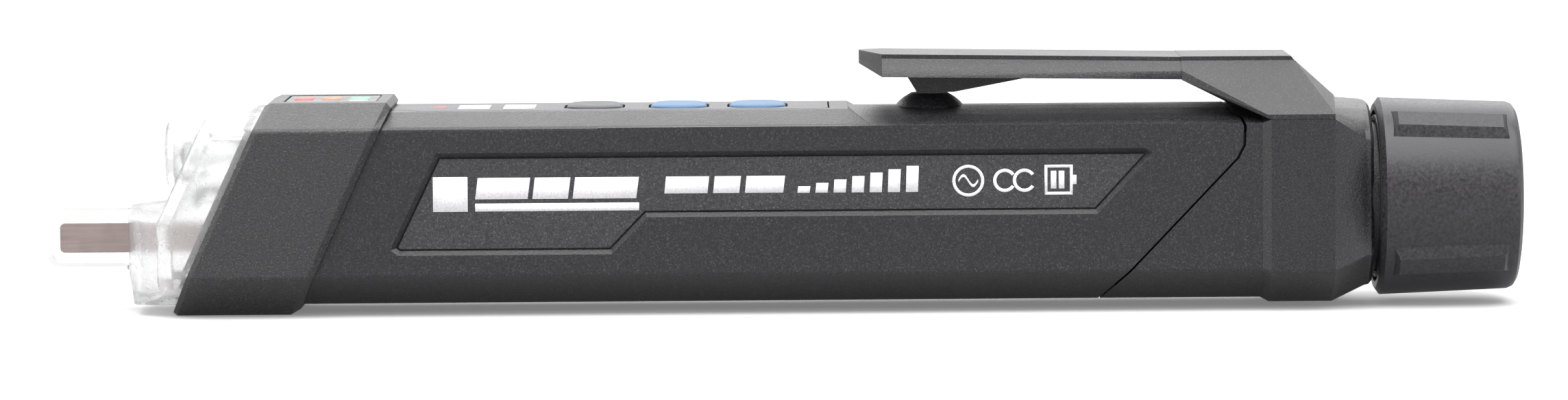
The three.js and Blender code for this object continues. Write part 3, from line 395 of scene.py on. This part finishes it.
def make_camera():
    """Long lens from the left side of the tester, a little above it."""
    data = bpy.data.cameras.new("camera")
    data.sensor_width = 36
    data.lens = data.sensor_width * CAMERA["distance"] / CAMERA["view_width"]
    data.clip_start, data.clip_end = 0.01, 20
    camera = bpy.data.objects.new("camera", data)
    elevation = math.radians(CAMERA["elevation"])
    away = Vector((0, -math.cos(elevation), math.sin(elevation)))
    camera.location = LOOK_AT + away * CAMERA["distance"]
    look = (-away).to_track_quat("-Z", "Y")
    roll = Quaternion((0, 0, 1), math.radians(-CAMERA["roll"]))
    camera.rotation_mode = "QUATERNION"
    camera.rotation_quaternion = look @ roll
    bpy.context.scene.collection.objects.link(camera)
    bpy.context.scene.camera = camera


def area_light(name, location, target, size, radiance):
    """Rectangular soft box of the given radiance."""
    data = bpy.data.lights.new(name, "AREA")
    data.shape = "RECTANGLE"
    data.size, data.size_y = size
    data.energy = radiance * math.pi * size[0] * size[1]
    light = bpy.data.objects.new(name, data)
    light.location = location
    light.rotation_euler = (Vector(target) - Vector(location)).to_track_quat("-Z", "Y").to_euler()
    bpy.context.scene.collection.objects.link(light)


# Soft boxes: place, the point they face, size and radiance
LIGHTS = {
    "overhead_box": ((0, -0.30, 0.90), (0, -0.05, 0), (1.6, 0.92), 7.1),
    "rear_box": ((0, 0.88, 0.90), (0, 0, 0), (1.6, 1.2), 3.0),
    "left_panel": ((-1.1, -0.65, 0.25), (0, 0, 0), (0.9, 0.9), 3.5),
    "right_panel": ((1.1, -0.65, 0.25), (0, 0, 0), (0.9, 0.9), 3.5),
}
SKY = 1.04
FLOOR = {"half": 4.0, "rows": 8, "top": -0.02 * MM, "glow": 0.18}
PAPER_DARK, PAPER_LIGHT = (0.335, 0.335, 0.34), (0.345, 0.345, 0.35)


def make_studio():
    """White surroundings, a bright box overhead, a softer one behind and one on each side."""
    world = bpy.data.worlds.new("studio")
    world.use_nodes = True
    background = world.node_tree.nodes["Background"]
    background.inputs["Color"].default_value = (1, 1, 1, 1)
    background.inputs["Strength"].default_value = SKY
    bpy.context.scene.world = world
    bpy.context.scene.view_settings.view_transform = "Standard"
    for name, settings in LIGHTS.items():
        area_light(name, *settings)

    floor_mesh = bpy.data.meshes.new("floor")
    half, rows = FLOOR["half"], FLOOR["rows"]
    steps = [-half + 2 * half * k / rows for k in range(rows + 1)]
    points = [(x, y, FLOOR["top"]) for y in steps for x in steps]
    row = rows + 1
    faces = [(r * row + c, r * row + c + 1, (r + 1) * row + c + 1, (r + 1) * row + c)
             for r in range(rows) for c in range(rows)]
    floor_mesh.from_pydata(points, [], faces)
    floor = bpy.data.objects.new("floor", floor_mesh)
    shader = Shader("floor_paper", PAPER_LIGHT, 0.75)
    grain = shader.noise(2 * MM)
    shader.link(shader.ramp(grain, *NOISE_RANGE, PAPER_DARK, PAPER_LIGHT), "Base Color")
    shader.bsdf.inputs["Emission Color"].default_value = (1, 1, 1, 1)
    shader.bsdf.inputs["Emission Strength"].default_value = FLOOR["glow"]
    floor_mesh.materials.append(shader.material)
    bpy.context.scene.collection.objects.link(floor)


# ---------------------------------------------------------------------------------------------------
# Housing pieces that keep the CAD's shape
# ---------------------------------------------------------------------------------------------------

# Finer pieces that stand for a CAD node: material and edge rounding in millimetres
REFINED = {
    "barrel": (BLACK, 0.16),
    "rear_shell": (BLACK, 0.16),
    "front_bezel": (BEZEL_BLACK, 0.14),
    "clear_nose": (NOSE, 0.16),
    "tail_cap": (CAP_BLACK, 0.16),
    "indicator_window": (SMOKED, 0.1),
    "top_overlay": (OVERLAY_BLACK, 0.06),
    "side_label_left": (LABEL_BLACK, 0.06),
    "side_label_right": (LABEL_BLACK, 0.06),
    "power_button": (GREY, 0.1),
    "range_button": (BLUE, 0.1),
    "torch_button": (BLUE, 0.1),
    "sensor_plate": (COPPER, 0.05),
}

CARRIED = {
    "sensor_lead": COPPER, "torch_led": CLEAR, "tip_led": CLEAR,
    "led_red": RED_LENS, "led_amber": AMBER_LENS, "led_green": GREEN_LENS,
    "power_switch": SWITCH_METAL, "range_switch": SWITCH_METAL, "torch_switch": SWITCH_METAL,
    "power_plunger": CHIP, "range_plunger": CHIP, "torch_plunger": CHIP,
    "main_pcb": BOARD, "amplifier_chip": CHIP, "controller_chip": CHIP, "buzzer": CHIP,
    "battery_chassis": BLACK, "pcb_screw_front": STEEL, "pcb_screw_rear": STEEL,
    "battery_cell_front": CELL_JACKET, "battery_cell_rear": CELL_JACKET,
    "front_contact": STEEL, "return_strip": STEEL, "tail_contact": STEEL, "tail_spring": STEEL,
    "o_ring": SEAL,
}


def dress_carried():
    """Gives each node that is carried over its own material."""
    for node, material in CARRIED.items():
        slots = NODES[node].data.materials
        slots.clear()
        slots.append(material)


# The clip's mesh runs on into the root, where it is slightly slimmer, and is cut across where it bends.
CLIP_RUN_ON = 1.1 * MM
CLIP_SLIMMER = 0.05 * MM
CLIP_NARROWER = 0.985
CLIP_CUTS = {"first": 0.7 * MM, "pitch": 0.5 * MM, "count": 13}
CLIP_EDGE = 0.12 * MM


def make_clip():
    """The clip arm: the CAD arm, run on into the root and cut finely across the root."""
    hinge_x = CLIP_HIGH.x
    middle_z = (CLIP_LOW.z + CLIP_HIGH.z) / 2
    work = merged_copy("pocket_clip")
    for vertex in work.verts:
        if vertex.co.x > hinge_x - 0.05 * MM:
            vertex.co.x += CLIP_RUN_ON
            vertex.co.y *= CLIP_NARROWER
            vertex.co.z += CLIP_SLIMMER if vertex.co.z < middle_z else -CLIP_SLIMMER
    for k in range(CLIP_CUTS["count"]):
        plane = Vector((hinge_x + CLIP_CUTS["first"] - k * CLIP_CUTS["pitch"], 0, 0))
        everything = [*work.verts, *work.edges, *work.faces]
        bmesh.ops.bisect_plane(work, geom=everything, plane_co=plane, plane_no=(1, 0, 0))
    piece = finished(work, "pocket_clip_fine", BLACK, None)
    round_edges(piece, CLIP_EDGE, 2, 30)
    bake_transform(piece)
    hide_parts("pocket_clip")


# ---------------------------------------------------------------------------------------------------
# Printed marks: plain bars and generic pictograms, no lettering
# ---------------------------------------------------------------------------------------------------

# Marks on a side label, in millimetres from its front end and above the tester's long axis. Rectangles are
# (start, low, end, high).
SIDE_PLATES = ((3.8, -0.16, 7.5, 3.57), (8.3, -0.14, 25.8, 0.7))
SIDE_BARS = (
    {"spans": ((8.3, 13.9), (14.4, 18.2), (18.7, 25.5)), "low": 1.16, "high": 3.45, "lean": 0.3},
    {"spans": ((28.5, 33.1), (33.7, 36.5), (37.1, 41.2)), "low": 1.64, "high": 3.45, "lean": 0.2},
)
SIDE_STEPS = {"count": 7, "start": 42.7, "pitch": 1.93, "width": 1.3, "low": 1.6, "high": 2.3, "rise": 0.35}
ICON_LEVEL = 2.76
WAVE_ICON = {"x": 60.95, "ring": 1.7, "line": 0.32, "half": 1.05, "height": 0.55}
RINGS_ICON = {"x": 65.9, "apart": 1.05, "inner": 0.9, "outer": 1.25, "opening": 0.6}
CELL_ICON = {
    "x": 70.8,
    "outer": (69.1, 1.2, 72.1, 4.4),
    "inner": (69.4, 1.5, 71.8, 4.1),
    "plates": ((72.1, 2.3, 72.5, 3.3), (69.75, 1.85, 70.35, 3.75), (70.6, 1.85, 71.2, 3.75)),
}
FULL_TURN = 2 * math.pi

# Marks on top, in millimetres from the front end of the overlay or window and across from its middle
OVERLAY_DOT = {"x": 5.65, "radius": 0.85}
OVERLAY_BARS = ((7.7, -3, 11.1, 3), (12.6, -3, 16.0, 3))
WINDOW_FIELDS = {
    "red": ((0.8, -1.8, 2.8, 2.8), RED_INK),
    "amber": ((3.8, -1.8, 5.8, 2.8), ORANGE_INK),
    "green": ((6.8, -1.8, 8.8, 2.8), GREEN_INK),
}
WINDOW_BAR = (6.8, -3.6, 8.8, -2.3)


def side_marks(work, place, outward, turned):
    """Marks on a side label; turned is -1 where the icons have to be turned to face the same way."""
    def plate(outline, spot=place):
        raised(work, outline, spot, outward, INK)

    def band(centre, inner, outer):
        raised_strip(work, inner, outer, icon(centre), outward, INK)

    def icon(centre):
        """Places an icon's points, turned about its centre."""
        return lambda x, y: place(centre + turned * (x - centre), y)

    for corners in SIDE_PLATES:
        plate(rectangle(*corners))
    for row in SIDE_BARS:
        for start, end in row["spans"]:
            plate(rectangle(start, row["low"], end, row["high"], row["lean"]))
    for k in range(SIDE_STEPS["count"]):
        start = SIDE_STEPS["start"] + SIDE_STEPS["pitch"] * k
        high = SIDE_STEPS["high"] + SIDE_STEPS["rise"] * k
        plate(rectangle(start, SIDE_STEPS["low"], start + SIDE_STEPS["width"], high, 0.1))

    x, ring, line = WAVE_ICON["x"], WAVE_ICON["ring"], WAVE_ICON["line"]
    circle = [arc(x, ICON_LEVEL, radius, 0, FULL_TURN, 40) for radius in (ring - line, ring)]
    band(x, *circle)
    half, height = WAVE_ICON["half"], WAVE_ICON["height"]
    along = [k / 16 for k in range(17)]
    wave = [(x + half * (2 * t - 1), ICON_LEVEL + height * math.sin(FULL_TURN * t)) for t in along]
    band(x, [(a, b - line / 2) for a, b in wave], [(a, b + line / 2) for a, b in wave])

    opening = RINGS_ICON["opening"]
    for side in (-1, 1):
        x = RINGS_ICON["x"] + side * RINGS_ICON["apart"]
        rings = [arc(x, ICON_LEVEL, RINGS_ICON[edge], opening, FULL_TURN - opening, 30)
                 for edge in ("inner", "outer")]
        band(RINGS_ICON["x"], *rings)

    corners = [(0, 1), (2, 1), (2, 3), (0, 3), (0, 1)]
    frames = [[(CELL_ICON[edge][i], CELL_ICON[edge][j]) for i, j in corners] for edge in ("inner", "outer")]
    band(CELL_ICON["x"], *frames)
    for corners in CELL_ICON["plates"]:
        plate(rectangle(*corners), icon(CELL_ICON["x"]))


def make_side_marks():
    """The same marks on both sides, laid out from the front end."""
    for name, side, face in (("left", -1, LABEL_LOW.y), ("right", 1, -LABEL_LOW.y)):
        work = bmesh.new()

        def place(x, height, face=face):
            return Vector((LABEL_LOW.x + x * MM, face, AXIS_Z + height * MM))

        side_marks(work, place, Vector((0, side, 0)), -side)
        bmesh.ops.recalc_face_normals(work, faces=work.faces)
        finished(work, "side_marks_" + name, WHITE_INK, "housing")


def make_top_marks():
    """Small marks on the overlay and coloured fields on the indicator window."""
    up = Vector((0, 0, 1))

    def piece(name, corner, outlines, material, slot):
        def place(x, y):
            return Vector((corner.x + x * MM, y * MM, corner.z))

        work = bmesh.new()
        for outline in outlines:
            raised(work, outline, place, up, INK)
        bmesh.ops.recalc_face_normals(work, faces=work.faces)
        finished(work, name, material, "housing")

    overlay = Vector((OVERLAY_LOW.x, 0, OVERLAY_HIGH.z))
    dot = arc(OVERLAY_DOT["x"], 0, OVERLAY_DOT["radius"], 0, FULL_TURN, 28)[:-1]
    piece("overlay_red_mark", overlay, [dot], RED_INK, "label_plastic")
    bars = [rectangle(*corners) for corners in OVERLAY_BARS]
    piece("overlay_white_marks", overlay, bars, WHITE_INK, "label_plastic")
    window = Vector((WINDOW_LOW.x, 0, WINDOW_HIGH.z))
    for name, (corners, material) in WINDOW_FIELDS.items():
        piece("window_field_" + name, window, [rectangle(*corners)], material, "smoked_plastic")
    piece("window_white_mark", window, [rectangle(*WINDOW_BAR)], WHITE_INK, "smoked_plastic")


# ---------------------------------------------------------------------------------------------------
# Assembly
# ---------------------------------------------------------------------------------------------------

make_camera()
make_studio()
dress_carried()
for node_name, (finish, edge) in REFINED.items():
    refined(node_name, finish, edge * MM)
make_clip()
make_side_marks()
make_top_marks()
